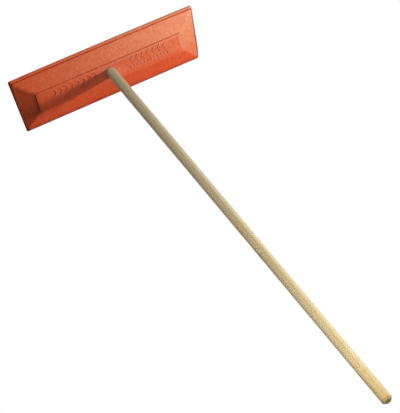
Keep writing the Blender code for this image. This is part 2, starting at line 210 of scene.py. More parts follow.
def panel_ring(z, grow, radius):
    half_w, half_h = PANEL_W / 2 + grow, PANEL_H / 2 + grow
    corners = rectangle(-half_w, half_w, PANEL_Y - half_h, PANEL_Y + half_h)
    return at_height(fillet_loop(corners, radius, ARC_STEPS, SIDE_STEPS), z)


def mix_ring(start, end, t, lift=0.0):
    return [p.lerp(q, t) + Vector((0, 0, lift)) for p, q in zip(start, end)]


# ---------------------------------------------------------------------- solids
def skin(rings, caps_first=False, cap_turn=1):
    """Joins rings given in metres; cap_turn -1 winds the end caps the other way."""
    shape = bmesh.new()
    levels = [[shape.verts.new(p) for p in ring] for ring in rings]

    def cap():
        shape.faces.new(levels[0][::cap_turn])
        shape.faces.new(levels[-1][::-cap_turn])

    if caps_first:
        cap()
    for low, high in zip(levels, levels[1:]):
        for i in range(len(low)):
            j = (i + 1) % len(low)
            shape.faces.new((low[i], low[j], high[j], high[i]))
    if not caps_first:
        cap()
    return shape


def loft(rings, **caps):
    return skin([[p * MM for p in ring] for ring in rings], **caps)


def prism(points, z0, z1):
    return loft([at_height(points, z0), at_height(points, z1)], caps_first=True)


def turned(profile, segments, place=None):
    """Spins (radius, z) points; a profile that starts off the axis closes on itself."""
    shape = bmesh.new()
    rings = []
    for radius, z in profile:
        if radius == 0:
            rings.append([shape.verts.new((0, 0, z * MM))])
            continue
        rings.append([shape.verts.new((radius * MM * math.cos(2 * math.pi * k / segments),
                                       radius * MM * math.sin(2 * math.pi * k / segments),
                                       z * MM)) for k in range(segments)])
    pairs = list(zip(rings, rings[1:]))
    if profile[0][0] != 0:
        pairs.append((rings[-1], rings[0]))
    for low, high in pairs:
        for k in range(segments):
            j = (k + 1) % segments
            if len(low) == 1:
                shape.faces.new((low[0], high[j], high[k]))
            elif len(high) == 1:
                shape.faces.new((low[k], low[j], high[0]))
            else:
                shape.faces.new((low[k], low[j], high[j], high[k]))
    if place is not None:
        shape.transform(place)
    return shape


def merge(parts):
    merged = bmesh.new()
    carrier = bpy.data.meshes.new("tmp")
    for part in parts:
        part.to_mesh(carrier)
        merged.from_mesh(carrier)
        part.free()
    bpy.data.meshes.remove(carrier)
    return merged


def at_screws(profile, segments):
    """The same turned shape at every shell screw."""
    return [turned(profile, segments, Matrix.Translation((x * MM, y * MM, 0)))
            for x, y in SCREW_SPOTS]


def inset_poly(points, distance):
    """Moves each edge of a closed polygon inward; points run anticlockwise."""
    inset = []
    for i in range(len(points)):
        last, here, after = (Vector(points[k % len(points)]) for k in (i - 1, i, i + 1))
        edge_in = (here - last).normalized()
        edge_out = (after - here).normalized()
        normal_in = Vector((-edge_in.y, edge_in.x))
        normal_out = Vector((-edge_out.y, edge_out.x))
        mitre = (normal_in + normal_out).normalized()
        moved = here + mitre * (distance / max(0.3, mitre.dot(normal_in)))
        inset.append((moved.x, moved.y))
    return inset


def raised(points, height):
    """A raised mark with sloping, softened sides, rooted a little below z = 0."""
    root, slope = -0.8, 0.9
    levels = [(root, 0.0), (0.0, 0.0), (height * 0.45, slope * 0.35),
              (height * 0.85, slope * 0.7), (height, slope * 1.15)]
    rings = [at_height(inset_poly(points, inset) if inset else points, z)
             for z, inset in levels]
    return loft(rings, caps_first=True, cap_turn=-1)


# ---------------------------------------------------------------------- pieces
pieces = {}  # object name: what settle() needs


def to_mesh(shape, name):
    bmesh.ops.recalc_face_normals(shape, faces=shape.faces)
    mesh = bpy.data.meshes.new(name)
    shape.to_mesh(mesh)
    shape.free()
    return mesh


def make(name, shape, place, material, body, slot, node, smooth=30.0):
    """A piece modelled in its own frame; settle() moves its mesh to the row frame."""
    piece = bpy.data.objects.new(name, to_mesh(shape, name))
    scene_objects.link(piece)
    piece.data.materials.append(material)
    pieces[name] = dict(place=place, body=body, slot=slot, node=node, smooth=smooth)
    return piece


def boolean(piece, shape, operation, place):
    cutter_mesh = to_mesh(shape, "cutter")
    cutter = bpy.data.objects.new("cutter", cutter_mesh)
    scene_objects.link(cutter)
    cutter.matrix_world = pieces[piece.name]["place"].inverted() @ place
    modifier = piece.modifiers.new("b", "BOOLEAN")
    modifier.operation = operation
    modifier.solver = "EXACT"
    modifier.object = cutter
    bpy.context.view_layer.update()
    depsgraph = bpy.context.evaluated_depsgraph_get()
    result = bpy.data.meshes.new_from_object(piece.evaluated_get(depsgraph))
    piece.modifiers.clear()
    old_mesh = piece.data
    piece.data = result
    bpy.data.meshes.remove(old_mesh)
    bpy.data.objects.remove(cutter)
    bpy.data.meshes.remove(cutter_mesh)


def settle(name):
    """Fixes shading, rides the piece on its body and hides the part it stands for."""
    piece, facts = bpy.data.objects[name], pieces[name]
    piece.data.transform(facts["place"])
    piece.data.shade_smooth()
    piece.data.set_sharp_from_angle(angle=math.radians(facts["smooth"]))
    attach(piece, facts["body"])
    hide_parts(facts["node"])


# ---------------------------------------------------------------- shader nodes
class Shader:
    """A node material with short calls for its nodes; color is the coat built up so far."""

    def __init__(self, name, color=None):
        self.material = bpy.data.materials.new(name)
        self.material.use_nodes = True
        self.tree = self.material.node_tree
        self.principled = self.tree.nodes["Principled BSDF"]
        self.color = color

    def feed(self, socket, value):
        """Links a socket, or sets its plain value."""
        if isinstance(value, bpy.types.NodeSocket):
            self.tree.links.new(value, socket)
        elif socket.type == "RGBA":
            socket.default_value = (*value, 1.0)
        else:
            socket.default_value = value

    def node(self, kind, inputs):
        node = self.tree.nodes.new(kind)
        for key, value in inputs.items():
            self.feed(node.inputs[key], value)
        return node

    def surface(self, inputs):
        for key, value in inputs.items():
            self.feed(self.principled.inputs[key], value)

    def place_in(self, place):
        """Position on the piece, in metres, in a frame given in the row frame."""
        inverse = place.inverted()
        mapping = self.node("ShaderNodeMapping", {"Location": inverse.translation,
                                                  "Rotation": inverse.to_euler("XYZ")})
        texture = self.tree.nodes.new("ShaderNodeTexCoord")
        self.feed(mapping.inputs["Vector"], texture.outputs["Object"])
        return mapping.outputs["Vector"]

    def split(self, vector):
        return self.node("ShaderNodeSeparateXYZ", {0: vector}).outputs

    def stretch(self, vector, scale, turn=(0, 0, 0)):
        return self.node("ShaderNodeMapping", {"Scale": scale, "Rotation": turn,
                                               "Vector": vector}).outputs["Vector"]

    def noise(self, vector, scale, detail=2.0, rough=0.5, distortion=0.0):
        return self.node("ShaderNodeTexNoise", {
            "Scale": scale, "Detail": detail, "Roughness": rough,
            "Distortion": distortion, "Vector": vector}).outputs["Fac"]

    def ramp(self, amount, stops):
        node = self.node("ShaderNodeValToRGB", {"Fac": amount})
        elements = node.color_ramp.elements
        while len(elements) > 1:
            elements.remove(elements[-1])
        elements[0].position = stops[0][0]
        elements[0].color = (*stops[0][1], 1.0)
        for position, color in stops[1:]:
            elements.new(position).color = (*color, 1.0)
        return node.outputs["Color"]

    def math(self, operation, *values, clamp=False):
        node = self.node("ShaderNodeMath", dict(enumerate(values)))
        node.operation = operation
        node.use_clamp = clamp
        return node.outputs[0]

    def times(self, value, factor, clamp=False):
        return self.math("MULTIPLY", value, factor, clamp=clamp)

    def plus(self, value, added):
        return self.math("ADD", value, added)

    def minus(self, value, taken):
        return self.math("SUBTRACT", value, taken)

    def power(self, value, exponent):
        return self.math("POWER", value, exponent)

    def remap(self, value, over, to=(0.0, 1.0)):
        return self.node("ShaderNodeMapRange", {
            "Value": value, "From Min": over[0], "From Max": over[1],
            "To Min": to[0], "To Max": to[1]}).outputs["Result"]

    def facing(self, normal, direction):
        """How squarely the surface faces a row frame direction."""
        node = self.node("ShaderNodeVectorMath", {0: normal, 1: direction})
        node.operation = "DOT_PRODUCT"
        return node.outputs["Value"]

    def mix(self, amount, under, over, blend="MIX"):
        node = self.tree.nodes.new("ShaderNodeMix")
        node.data_type = "RGBA"
        node.blend_type = blend
        # inputs 6 and 7 are the two colours
        for key, value in ((0, amount), (6, under), (7, over)):
            self.feed(node.inputs[key], value)
        return node.outputs[2]

    def paint(self, amount, coat):
        self.color = self.mix(amount, self.color, coat)

    def tint(self, amount, by):
        self.paint(amount, self.mix(1.0, self.color, by, "MULTIPLY"))

    def bump(self, height, strength, distance, normal=None):
        inputs = {"Strength": strength, "Distance": distance, "Height": height}
        if normal is not None:
            inputs["Normal"] = normal
        return self.node("ShaderNodeBump", inputs).outputs["Normal"]


# -------------------------------------------------------------- orange plastic
# painted sheen: the whitish colour that stands in for glancing light
SHEEN_COLOUR = (0.92, 0.296, 0.138)
# chalky speckle colour, which also carries part of the painted sheen
CHALK_AND_SHEEN = (0.96, 0.53, 0.37)
# painted highlight colour for the panel's rounded edge
EDGE_HIGHLIGHT = (0.92, 0.42, 0.27)


def paint_sheen(shader, x, y, cloud, normal):
    """Painted sheen and painted light: pales the plastic towards +X and up the blade, most on faces
    turned that way.
    """
    pale_way = (BLADE.to_3x3() @ Vector((0.78, 0.63, 0.0))).normalized()
    face = shader.remap(shader.facing(normal, pale_way), over=(-0.22, 0.22), to=(0.06, 1.0))
    face = shader.power(face, exponent=1.25)
    end = shader.remap(x, over=(-0.30, 0.24), to=(0.12, 1.0))
    end = shader.power(end, exponent=1.5)
    amount = shader.times(face, end, clamp=True)
    for value, over, to in ((cloud, (0.3, 0.7), (0.80, 1.10)),
                            (y, (-0.045, 0.040), (0.50, 1.12))):
        amount = shader.times(amount, shader.remap(value, over, to), clamp=True)
    shader.paint(amount, SHEEN_COLOUR)
    return amount


def mottle_coat(shader, slope, painted_sheen, patch, mottle, speck):
    """Chalky patches and spots, partly painted sheen since they are strongest where the painted
    sheen lies, then darker spots and specks.
    """
    # where the speckle shows, raised where the painted sheen lies
    speckle_and_sheen = shader.times(slope, shader.remap(painted_sheen, over=(0.0, 0.7), to=(0.35, 1.0)),
                         clamp=True)
    pale = shader.mix(0.55, shader.color, CHALK_AND_SHEEN)
    shader.paint(shader.times(shader.remap(patch, over=(0.48, 0.66), to=(0.0, 0.36)), speckle_and_sheen), pale)
    shader.paint(shader.times(shader.remap(mottle, over=(0.48, 0.62), to=(0.0, 0.90)), speckle_and_sheen), pale)
    dark = shader.times(shader.remap(mottle, over=(0.50, 0.38)),
                        shader.math("MAXIMUM", speckle_and_sheen, shader.times(slope, factor=0.5)))
    shader.tint(dark, by=(0.80, 0.68, 0.66))
    specks = shader.times(shader.remap(speck, over=(0.54, 0.70), to=(0.0, 0.8)), slope)
    shader.tint(specks, by=(0.78, 0.70, 0.68))


def shade_sides(shader, normal):
    """Painted shade: darkens faces turned to -X, more so the steeper they are, and slightly those
    to +X.
    """
    to_minus_x = shader.facing(normal, (-1.0, 0.0, 0.0))
    for over, by in (((0.18, 0.42), (0.60, 0.69, 0.82)),
                     ((-0.18, -0.32), (0.84, 0.86, 0.84)),
                     ((0.42, 0.80), (0.58, 0.50, 0.50))):
        shader.tint(shader.remap(to_minus_x, over), by)


def paint_panel_edge_light(shader, x, y, z):
    """Painted shade and painted light along the panel's edge; returns the mask of its two end
    zones.
    """
    past_x = shader.minus(shader.math("ABSOLUTE", x), PANEL_W / 2 * MM)
    from_middle = shader.math("ABSOLUTE", shader.minus(y, PANEL_Y * MM))
    past_y = shader.minus(from_middle, PANEL_H / 2 * MM)
    past_edge = shader.math("MAXIMUM", past_x, past_y)
    face_on = shader.remap(z, over=(-0.0062, -0.0044))
    by_y = shader.remap(shader.minus(past_y, past_x), over=(-0.004, 0.004))
    upper_half = shader.remap(y, over=(0.0, 0.01))
    head_side = shader.times(shader.times(by_y, upper_half), face_on)
    end_side = shader.times(shader.minus(1.0, by_y), face_on)

    def band(offset, half_width, side):
        """A soft line at an offset outside the panel's edge, in millimetres."""
        distance = shader.math("ABSOLUTE", shader.minus(past_edge, offset * MM))
        line = shader.remap(distance, over=(0.0, half_width * MM), to=(1.0, 0.0))
        return shader.times(line, side)

    # painted shade in the crease above the panel
    shader.tint(band(offset=0.9, half_width=2.0, side=head_side), by=(0.72, 0.50, 0.46))
    # painted light along the panel's edge, in the groove at its ends and as highlights on its
    # rounded edge: offset, half width, side, x range, strength over it, colour
    for offset, half_width, side, over, to, coat in (
            (0.9, 2.2, end_side, (0.20, 0.21), (0.0, 0.80), (0.98, 0.50, 0.32)),
            (-5.0, 3.2, head_side, (-0.25, 0.2), (0.06, 0.34), EDGE_HIGHLIGHT),
            (-6.0, 4.6, end_side, (0.20, 0.21), (0.0, 0.52), EDGE_HIGHLIGHT)):
        line = band(offset, half_width, side)
        shader.paint(shader.times(line, shader.remap(x, over, to)), coat)
    # painted shade, darker towards and past the panel's -X end
    painted_end_shade = shader.remap(x, over=(-0.249, -0.229), to=(0.62, 0.0))
    shader.tint(shader.times(painted_end_shade, face_on), by=(0.52, 0.56, 0.62))
    return end_side


def paint_rim_light_and_shade(shader, x, y, z, normal):
    """Painted light on the +X rim; painted shade on the -X rim, along the lower edge and round the
    rim's back corner.
    """
    # painted light in the +X rim's seam
    shader.paint(shader.remap(x, over=(0.2955, 0.2975), to=(0.0, 0.55)), (0.98, 0.62, 0.47))
    # painted shade on the -X rim
    shader.tint(shader.remap(x, over=(-0.2970, -0.2990)), by=(0.62, 0.52, 0.50))
    # painted shade, darker towards the lower edge
    shader.tint(shader.remap(y, over=(-0.069, -0.090)), by=(0.74, 0.70, 0.74))
    # painted shade on the rim's back corner
    to_back = shader.facing(normal, -(BLADE.to_3x3() @ Vector((0.0, 0.0, 1.0))))
    back_corner_shade = shader.times(shader.remap(z, over=(-0.0240, -0.0275)),
                               shader.remap(to_back, over=(0.60, 0.90), to=(1.0, 0.0)))
    shader.tint(back_corner_shade, by=(0.30, 0.26, 0.28))


def wear_edges_and_shade_creases(shader, place, pointiness, end_side):
    """Edges rub paler; inward corners get painted shade, except at the panel's ends."""
    edge = shader.remap(pointiness, over=(0.515, 0.56))
    broken = shader.noise(place, scale=60.0, detail=4.0, rough=0.7)
    scuff = shader.times(edge, shader.remap(broken, over=(0.45, 0.65), to=(0.08, 0.40)),
                         clamp=True)
    shader.paint(scuff, shader.mix(0.6, shader.color, (0.92, 0.50, 0.34)))
    # painted shade in inward corners and creases
    crease_shade = shader.remap(pointiness, over=(0.485, 0.43), to=(0.0, 0.6))
    crease_shade = shader.times(crease_shade, shader.minus(1.0, end_side))
    shader.tint(crease_shade, by=(0.62, 0.48, 0.45))


def plastic_bump(shader, place, mottle, slope):
    """Fine grain, gentle waves, then long faint drag marks."""
    grain = shader.plus(shader.times(shader.noise(place, scale=900.0), factor=0.5),
                        shader.times(mottle, slope))
    normal = shader.bump(grain, strength=0.40, distance=0.0006)
    normal = shader.bump(shader.noise(place, scale=26.0), strength=0.25, distance=0.0016,
                         normal=normal)
    drag = shader.noise(shader.stretch(place, (4.0, 260.0, 260.0), turn=(0, 0, 0.12)), scale=3.0)
    return shader.bump(shader.remap(drag, over=(0.62, 0.70)), strength=0.10,
                       distance=0.0002, normal=normal)


def orange_plastic(name, base, deep):
    shader = Shader(name, base)
    place = shader.place_in(BLADE)
    x, y, z = shader.split(place)
    geometry = shader.node("ShaderNodeNewGeometry", {}).outputs
    normal = geometry["Normal"]
    cloud = shader.noise(place, scale=9.0, detail=3.0, rough=0.55)
    flow = shader.noise(shader.stretch(place, (3.0, 16.0, 16.0)), scale=2.2, detail=4.0,
                        rough=0.6, distortion=0.8)
    mottle = shader.noise(place, scale=130.0, detail=3.0, rough=0.66)
    patch = shader.noise(place, scale=42.0)
    speck = shader.noise(place, scale=430.0, rough=0.55)
    # grain strength: 0.35 all over, since this range in metres lies beyond the blade's depth
    slope = shader.remap(z, over=(-1.5, -4.0), to=(0.35, 1.0))

    shader.paint(shader.remap(cloud, over=(0.35, 0.65)), deep)
    lighter = tuple(min(1.0, channel * 1.10 + 0.004) for channel in base)
    shader.paint(shader.remap(flow, over=(0.40, 0.68), to=(0.0, 0.30)), lighter)
    # painted sheen and painted light, strongest towards +X and up the blade
    painted_sheen = paint_sheen(shader, x, y, cloud, normal)
    mottle_coat(shader, slope, painted_sheen, patch, mottle, speck)
    shade_sides(shader, normal)
    end_side = paint_panel_edge_light(shader, x, y, z)
    paint_rim_light_and_shade(shader, x, y, z, normal)
    wear_edges_and_shade_creases(shader, place, geometry["Pointiness"], end_side)
    shader.surface({
        "Base Color": shader.color,
        "Roughness": shader.plus(shader.remap(mottle, over=(0.3, 0.7), to=(0.58, 0.70)),
                                 shader.remap(cloud, over=(0.3, 0.7), to=(-0.04, 0.05))),
        "Normal": plastic_bump(shader, place, mottle, slope),
        "IOR": 1.5,
        "Specular IOR Level": 0.20})
    return shader.material


# ------------------------------------------------------------------------ wood
# colour along the pole, partly the wood's own tone and partly painted light that darkens it towards
# the blade: fraction of its length out of the blade, colour
WOOD_TONES_AND_FALLOFF = [
    (0.0, (0.45, 0.405, 0.280)), (0.10, (0.53, 0.465, 0.315)), (0.2, (0.61, 0.53, 0.35)),
    (0.34, (0.70, 0.605, 0.395)), (0.48, (0.80, 0.67, 0.405)), (0.61, (0.88, 0.73, 0.425)),
    (0.75, (0.92, 0.76, 0.455)), (0.887, (0.89, 0.73, 0.42)), (0.965, (0.77, 0.60, 0.30)),
    (1.0, (0.72, 0.54, 0.25))]
# darkness across one growth ring: fraction, grey
RING_TONES = [(0.0, (0.0,) * 3), (0.40, (0.10,) * 3), (0.74, (0.9,) * 3), (0.82, (1.0,) * 3),
              (1.0, (0.0,) * 3)]
# golden streaks: angle round the pole and half width in radians, strength
STREAKS = ((1.74, 0.22, 1.0), (-0.9, 0.26, 0.5), (-2.2, 0.22, 0.5), (0.1, 0.24, 0.25))


def growth_rings(shader, place, x, y):
    """Rings cut nearly along the grain: long bands that wander slowly."""
    warp = shader.noise(shader.stretch(place, (1.0, 1.0, 0.35)), scale=7.0, detail=3.0)
    across = shader.plus(shader.times(y, factor=0.55), x)
    across = shader.plus(across, shader.times(warp, factor=0.016))
    rings = shader.math("FRACT", shader.times(across, factor=85.0))
    late = shader.ramp(rings, RING_TONES)
    strength = shader.noise(shader.stretch(place, (1, 1, 0.4)), scale=22.0)
    amount = shader.times(late, shader.remap(strength, over=(0.35, 0.65), to=(0.06, 0.34)))
    shader.tint(amount, by=(0.93, 0.76, 0.50))


def golden_streaks(shader, place, x, y):
    """One strong streak along the pole and fainter ones round the rest of it."""
    angle = shader.math("ARCTAN2", y, x)
    wander = shader.noise(shader.stretch(place, (0.0, 0.0, 1.0)), scale=2.0, detail=1.0)
    wander = shader.times(shader.minus(wander, taken=0.5), factor=0.45)
    for centre, half_width, strength in STREAKS:
        away = shader.math("ABSOLUTE", shader.minus(shader.plus(angle, wander), centre))
        shader.tint(shader.remap(away, over=(0.0, half_width), to=(strength, 0.0)),
                    by=(1.00, 0.84, 0.57))


def end_grain(shader, place, x, y, z):
    """Rings round an off-centre heart and open pores on the far end and its chamfer."""
    from_heart = shader.math("SQRT", shader.plus(
        shader.power(shader.plus(x, added=0.021), exponent=2.0),
        shader.power(shader.plus(y, added=-0.013), exponent=2.0)))
    arcs = shader.math("FRACT", shader.times(from_heart, factor=480.0))
    dots = shader.noise(place, scale=1500.0, rough=0.6)
    grain = shader.mix(shader.remap(arcs, over=(0.55, 0.95), to=(0.0, 0.5)),
                       (0.80, 0.56, 0.27), (0.62, 0.41, 0.19))
    grain = shader.mix(shader.remap(dots, over=(0.52, 0.72), to=(0.0, 0.35)),
                       grain, (0.46, 0.30, 0.14))
    chamfer_z = POLE_OUT - TIP_CHAMFER
    on_end = shader.remap(z, over=((POLE_OUT - 1.6) * MM, (POLE_OUT - 0.3) * MM))
    on_chamfer = shader.remap(z, over=((chamfer_z - 1.4) * MM, (chamfer_z + 0.4) * MM),
                              to=(0.0, 0.40))
    shader.paint(on_chamfer, (0.66, 0.46, 0.20))
    shader.paint(on_end, grain)


def wood(name):
    shader = Shader(name)
    place = shader.place_in(AXIS)
    x, y, z = shader.split(place)
    # wood tone with the painted light falloff along the pole
    tone_and_falloff = shader.ramp(shader.remap(z, over=(0.0, POLE_OUT * MM)), WOOD_TONES_AND_FALLOFF)
    shader.color = shader.mix(1.0, tone_and_falloff, (0.92, 0.895, 0.85), "MULTIPLY")
    growth_rings(shader, place, x, y)
    golden_streaks(shader, place, x, y)
    fibre = shader.noise(shader.stretch(place, (1.0, 1.0, 0.022)), scale=260.0, detail=1.0)
    shader.tint(shader.remap(fibre, over=(0.40, 0.66), to=(0.12, 0.0)), by=(0.86, 0.79, 0.66))
    pores = shader.noise(shader.stretch(place, (1.0, 1.0, 0.02)), scale=1500.0, detail=1.0)
    shader.tint(shader.remap(pores, over=(0.66, 0.78), to=(0.0, 0.04)), by=(0.62, 0.50, 0.34))
    blotch = shader.noise(shader.stretch(place, (1.0, 1.0, 0.12)), scale=26.0, detail=3.0,
                          rough=0.6)
    shader.tint(shader.remap(blotch, over=(0.45, 0.75), to=(0.0, 0.18)), by=(0.86, 0.82, 0.74))
    end_grain(shader, place, x, y, z)
    normal = shader.bump(fibre, strength=0.12, distance=0.00018)
    waves = shader.noise(shader.stretch(place, (1, 1, 0.06)), scale=60.0, detail=1.0)
    shader.surface({
        "Base Color": shader.color,
        "Roughness": shader.remap(fibre, over=(0.3, 0.7), to=(0.62, 0.52)),
        "Specular IOR Level": 0.35,
        "Normal": shader.bump(waves, strength=0.15, distance=0.0005, normal=normal)})
    return shader.material


def zinc(name):
    shader = Shader(name, (0.60, 0.60, 0.58))
    place = shader.place_in(AXIS)
    spots = shader.noise(place, scale=420.0, detail=3.0, rough=0.6)
    cloud = shader.noise(place, scale=90.0)
    darker = tuple(channel * 0.82 for channel in shader.color)
    shader.paint(shader.remap(cloud, over=(0.35, 0.65)), darker)
    shader.paint(shader.remap(spots, over=(0.55, 0.75), to=(0.0, 0.5)), (0.44, 0.42, 0.37))
    shader.surface({
        "Base Color": shader.color,
        "Metallic": 1.0,
        "Roughness": shader.remap(spots, over=(0.3, 0.7), to=(0.27, 0.48)),
        "Normal": shader.bump(shader.noise(place, scale=1800.0), strength=0.15,
                              distance=0.00008)})
    return shader.material


# ----------------------------------------------------------------- front shell
# panel edge, step and groove, outwards: height, growth and corner radius beyond the panel's
PANEL_EDGE = [
    (0.0, -2.4, -1.6), (-0.05, -1.6, -1.2), (-0.2, -1.0, -0.8), (-0.5, -0.45, -0.4),
    (-1.0, -0.1, -0.1), (-1.6, 0.05, 0.0), (-STEP, 0.25, 0.2), (-STEP - 0.45, 0.5, 0.4),
    (-STEP - 0.62, 0.85, 0.6), (-STEP - 0.6, 1.3, 0.9), (-STEP - 0.3, 1.8, 1.2),
    (-STEP, STEP_W, 1.6)]
# fractions of the way down the slope that carry a ring
SLOPE_STEPS = (0.03, 0.08, 0.16, 0.28, 0.42, 0.56, 0.70, 0.82, 0.91, 0.96)
# rounded outer edge: drop below the slope's foot, drop along the lower edge,
# distance outside the foot, inset from the blade's bottom, corner radius beyond the blade's
SHELL_EDGE = [
    (0.05, 0.45, 0.45, 7.0, 0.8), (0.2, 0.8, 0.95, 6.3, 0.6), (0.5, 1.3, 1.4, 5.4, 0.3),
    (0.95, 1.95, 1.7, 4.4, 0.0), (1.6, 2.7, EDGE_W, 3.4, 0.0),
    (SKIN, SKIN, EDGE_W, 2.65, 0.0), (SKIN, SKIN, -1.5, FOOT_BOTTOM + 1.5, 0.0)]
# rows of arrowheads: count, first x, pitch, y, width, height, thickness, way they point in x
CHEVRON_ROWS = ((8, -182.5, 19.0, 10.5, 15.0, 25.0, 5.6, 1, 1.1),
                (7, 72.0, 18.5, 11.0, 14.5, 24.0, 5.4, -1, 1.1))  # last column: relief
DOT_X, DOT_Y, DOT_R, DOT_RELIEF = 213.0, 7.0, 2.4, 0.8
BARS, BAR_X, BAR_PITCH, BAR_HALF_W, BAR_RELIEF = 12, 66.0, 11.2, 2.4, 0.9
BAR_Y0, BAR_Y1 = -16.5, -6.5


def chevron(x, y, width, height, thick, way):
    """Closed anticlockwise arrowhead outline pointing to +x or, with way -1, to -x."""
    left, right = x - width / 2, x + width / 2
    low, high = y - height / 2, y + height / 2
    points = [(left, low), (left + thick, low), (right, y), (left + thick, high),
              (left, high), (right - thick, y)]
    if way < 0:
        points = [(2 * x - px, py) for px, py in reversed(points)]
    return points


def raised_marks():
    """A dot, two rows of chevrons and a row of bars on the panel."""
    dot = [(DOT_X + DOT_R * math.cos(math.pi / 6 * k), DOT_Y + DOT_R * math.sin(math.pi / 6 * k))
           for k in range(12)]
    marks = [raised(dot, DOT_RELIEF)]
    for count, first_x, pitch, y, width, height, thick, way, relief in CHEVRON_ROWS:
        for i in range(count):
            outline = chevron(first_x + i * pitch, y, width, height, thick, way)
            marks.append(raised(outline, relief))
    for i in range(BARS):
        x0 = BAR_X + i * BAR_PITCH - BAR_HALF_W
        x1 = BAR_X + i * BAR_PITCH + BAR_HALF_W
        marks.append(raised([(x0, BAR_Y0), (x1, BAR_Y0), (x1, BAR_Y1), (x0, BAR_Y1)],
                            BAR_RELIEF))
    return marks


def build_front_shell(material):
    rings = [panel_ring(z, grow, PANEL_R + extra) for z, grow, extra in PANEL_EDGE]
    head = rings[-1]
    foot = rim(FOOT_Z, FOOT_Z - 0.2, FOOT_TOP, FOOT_SIDE, FOOT_BOTTOM, FOOT_R)
    rings += [mix_ring(head, foot, t) for t in SLOPE_STEPS]
    rings.append(mix_ring(head, foot, 0.985, lift=0.02))
    rings += [rim(FOOT_Z - drop, FOOT_Z - low_drop, FOOT_TOP - out, FOOT_SIDE - out, bottom,
                  CORNER_R + extra) for drop, low_drop, out, bottom, extra in SHELL_EDGE]
    # the inner side, behind the panel
    rings += [panel_ring(-SKIN - STEP, -2.4, PANEL_R), panel_ring(-SKIN, -3.6, PANEL_R)]
    front = make("front_shell_skin", loft(rings), BLADE, material, "blade", "front_plastic",
                 "front_shell")
    boolean(front, merge(raised_marks()), "UNION", BLADE)

    boss_z = BACK_Z + FLOOR + FIT_GAP
    bosses = at_screws([(0, boss_z), (BOSS_R, boss_z), (BOSS_R, -SKIN + 1.0),
                        (0, -SKIN + 1.0)], 32)
    boolean(front, merge(bosses), "UNION", BLADE)
    holes = at_screws([(0, boss_z - 2), (HOLE_R, boss_z - 2), (HOLE_R, -8.0), (0, -7.0)], 24)
    pole_hole = turned([(0, -12.0), (SOCKET_BORE_R, -12.0), (SOCKET_BORE_R, 12.0), (0, 12.0)],
                       96, AXIS_IN_BLADE)
    boolean(front, merge(holes + [pole_hole]), "DIFFERENCE", BLADE)


# ------------------------------------------------------------------ back shell
# from the shelf to the lip's crest: height, height along the lower edge,
# inset beyond the lip's width, inset from the blade's bottom
LIP_INNER = [
    (SHELF_Z, SHELF_Z, 0.0, 2.6), (FOOT_Z - 0.8, SHELF_Z - 0.01, 0.0, 2.54),
    (FOOT_Z - 0.33, SHELF_Z - 0.03, -0.15, 2.48), (FOOT_Z - 0.08, SHELF_Z - 0.05, -0.42, 2.42),
    (FOOT_Z, SHELF_Z - 0.08, -0.8, 2.36)]
# the lower edge's roll: inset from the blade's bottom, height
ROLL = [(2.2, SHELF_Z - 0.2), (1.3, -22.5), (0.2, -23.5), (-0.9, -24.6), (-1.6, -25.25),
        (-2.1, -25.95), (-2.45, -26.5), (-2.68, -27.0), (-BOTTOM_OUT, -27.4)]
ROLL_DROP = 6.0  # how far the lip falls along the upper edge and ends over the same rings
# rounded back corner: height above the back face, inset
BACK_CORNER = [(1.9, 0.0), (1.1, 0.15), (0.5, 0.5), (0.15, 1.0), (0.0, 1.9)]
# pocket walls, from behind the back face to the pocket's floor: height, inset
POCKET_WALL = [(BACK_Z - 3.0, -1.0), (BACK_Z, 0.0), (BACK_Z + POCKET_DEPTH - 0.9, 0.45),
               (BACK_Z + POCKET_DEPTH - 0.3, 0.75), (BACK_Z + POCKET_DEPTH, 1.4)]
POCKET_SPANS = ((46.0, 116.0), (122.0, 192.0), (198.0, 268.0))  # x, on either side
POCKET_Y = (3.0, 70.0)


def tray_rings():
    floor_z = BACK_Z + FLOOR
    inner_top, inner_side = FOOT_TOP - 0.3, FOOT_SIDE - 0.3
    rings = [rim(floor_z, floor_z, inner_top, inner_side, FOOT_BOTTOM - 0.3),
             rim(SHELF_Z, SHELF_Z, inner_top, inner_side, FOOT_BOTTOM - 0.5)]
    rings += [rim(z, low_z, LIP_TOP + inset, LIP_SIDE + inset, bottom)
              for z, low_z, inset, bottom in LIP_INNER]
    for k, (bottom, low_z) in enumerate(ROLL):
        angle = k / (len(ROLL) - 1) * math.pi / 2
        left_over = 1 - math.sin(angle)
        drop = 1 - math.cos(angle)
        rings.append(rim(FOOT_Z - drop * ROLL_DROP, low_z, left_over * (LIP_TOP - 1.75),
                         left_over * (LIP_SIDE - 1.0), bottom))
    rings += [rim(BACK_Z + rise, BACK_Z + rise, inset, inset, inset - BOTTOM_OUT)
              for rise, inset in BACK_CORNER]
    return rings


def pocket(x0, x1, y0, y1):
    """A recess with sloping walls and rounded corners."""
    rings = []
    for z, inset in POCKET_WALL:
        corners = rectangle(x0 + inset, x1 - inset, y0 + inset, y1 - inset)
        rings.append(at_height(fillet_loop(corners, POCKET_R - inset * 0.5, 7, (1, 1, 1, 1)), z))
    return loft(rings, caps_first=True)


def gusset(foot0, head0, head1, foot1, place):
    """A web behind the back face, as wide at its foot and head as the stations say."""
    root_z, shoulder_z, head_z = BACK_Z + 2.0, BACK_Z - 3.0, BACK_Z - 23.0
    web = prism([(foot0, root_z), (foot0, shoulder_z), (head0, head_z), (head1, head_z),
                 (foot1, shoulder_z), (foot1, root_z)], -GUSSET_T / 2, GUSSET_T / 2)
    web.transform(place)
    return web


